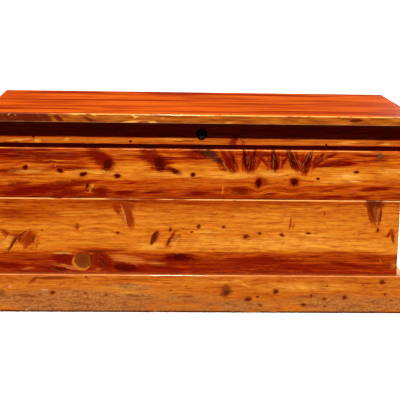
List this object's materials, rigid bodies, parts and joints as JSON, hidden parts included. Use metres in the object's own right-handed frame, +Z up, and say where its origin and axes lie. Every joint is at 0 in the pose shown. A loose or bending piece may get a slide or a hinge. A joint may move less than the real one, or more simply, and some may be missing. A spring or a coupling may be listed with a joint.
{
  "type": "blanket chest",
  "caption": "Lidded cedar blanket chest of tongued boards with a plinth, an overhanging hinged lid, parallel-arm lid stays and a keyed front lock.",
  "frame": {"origin": "on the ground under the middle of the whole outline with the lid closed", "axes": "+Z up, +X to the right seen from the front and along the longest side, the front with the lock faces -Y"},
  "size_m": [0.97, 0.457, 0.458],
  "materials": {
    "cedar_varnished": "amber varnish over knotty red cedar, glossy lid, worn arrises",
    "cedar_plain": "bare planed red cedar",
    "brass": "dulled brass",
    "steel": "plain steel",
    "dark_bronze": "darkened bronze",
    "nickel": "worn nickel",
    "filler": "grey-brown wood filler"
  },
  "bodies": {
    "case": {"back_lower_board": "cedar_varnished", "back_middle_board": "cedar_varnished", "back_top_rail": "cedar_varnished", "back_upper_board": "cedar_varnished", "case_fitting_screws": "steel", "case_wood_screws": "steel", "corner_post_back_left": "cedar_plain", "corner_post_back_right": "cedar_plain", "corner_post_front_left": "cedar_plain", "corner_post_front_right": "cedar_plain", "floor_bearer": "cedar_plain", "floor_board_back": "cedar_plain", "floor_board_front": "cedar_plain", "floor_board_middle": "cedar_plain", "floor_cleat_left": "cedar_plain", "floor_cleat_right": "cedar_plain", "front_lower_board": "cedar_varnished", "front_middle_board": "cedar_varnished", "front_plug": "filler", "front_top_rail": "cedar_varnished", "front_upper_board": "cedar_varnished", "hinge_case_leaf_left": "brass", "hinge_case_leaf_right": "brass", "hinge_pin_left": "brass", "hinge_pin_right": "brass", "left_lower_board": "cedar_varnished", "left_middle_board": "cedar_varnished", "left_top_rail": "cedar_varnished", "left_upper_board": "cedar_varnished", "lock_case": "steel", "lock_escutcheon": "dark_bronze", "plinth_back": "cedar_varnished", "plinth_front": "cedar_varnished", "plinth_left": "cedar_varnished", "plinth_right": "cedar_varnished", "right_lower_board": "cedar_varnished", "right_middle_board": "cedar_varnished", "right_top_rail": "cedar_varnished", "right_upper_board": "cedar_varnished", "stay_case_bracket_left": "brass", "stay_case_bracket_right": "brass"},
    "lid": {"hinge_lid_leaf_left": "brass", "hinge_lid_leaf_right": "brass", "lid_back_board": "cedar_varnished", "lid_batten_left": "cedar_plain", "lid_batten_right": "cedar_plain", "lid_batten_screws": "steel", "lid_fitting_screws": "steel", "lid_front_board": "cedar_varnished", "lid_middle_board": "cedar_varnished", "lock_strike": "steel", "stay_lid_bracket_left": "brass", "stay_lid_bracket_right": "brass"},
    "lock_cylinder": {"lock_cylinder": "nickel"},
    "lock_bolt": {"lock_bolt": "steel"},
    "stay_lower_arm_left": {"stay_lower_arm_left": "brass"},
    "stay_upper_arm_left": {"stay_upper_arm_left": "brass"},
    "stay_lower_arm_right": {"stay_lower_arm_right": "brass"},
    "stay_upper_arm_right": {"stay_upper_arm_right": "brass"}
  },
  "joints": [
    {"name": "lid_hinge", "type": "hinge", "parent": "case", "child": "lid", "pos_m": [0, 0.2133, 0.439], "axis": [-1, 0, 0], "range_deg": [0, 95]},
    {"name": "stay_lower_turn_left", "type": "hinge", "parent": "case", "child": "stay_lower_arm_left", "pos_m": [-0.43375, 0.1133, 0.309], "axis": [-1, 0, 0], "range_deg": [0, 95]},
    {"name": "stay_elbow_left", "type": "hinge", "parent": "stay_lower_arm_left", "child": "stay_upper_arm_left", "pos_m": [-0.43025, -0.0667, 0.293], "axis": [-1, 0, 0], "range_deg": [-95, 0]},
    {"name": "stay_lower_turn_right", "type": "hinge", "parent": "case", "child": "stay_lower_arm_right", "pos_m": [0.43375, 0.1133, 0.309], "axis": [-1, 0, 0], "range_deg": [0, 95]},
    {"name": "stay_elbow_right", "type": "hinge", "parent": "stay_lower_arm_right", "child": "stay_upper_arm_right", "pos_m": [0.43025, -0.0667, 0.293], "axis": [-1, 0, 0], "range_deg": [-95, 0]},
    {"name": "lock_cylinder_turn", "type": "hinge", "parent": "case", "child": "lock_cylinder", "pos_m": [0, -0.1815, 0.411], "axis": [0, 1, 0], "range_deg": [0, 90]},
    {"name": "lock_bolt_slide", "type": "slide", "parent": "case", "child": "lock_bolt", "axis": [1, 0, 0], "range_m": [0, 0.00707]}
  ],
  "couplings": [
    {"joint": "stay_lower_turn_left", "follows": "lid_hinge", "ratio": 1},
    {"joint": "stay_elbow_left", "follows": "lid_hinge", "ratio": -1},
    {"joint": "stay_lower_turn_right", "follows": "lid_hinge", "ratio": 1},
    {"joint": "stay_elbow_right", "follows": "lid_hinge", "ratio": -1},
    {"joint": "lock_cylinder_turn", "follows": "lock_bolt_slide", "rad_per_m": 222.1}
  ]
}
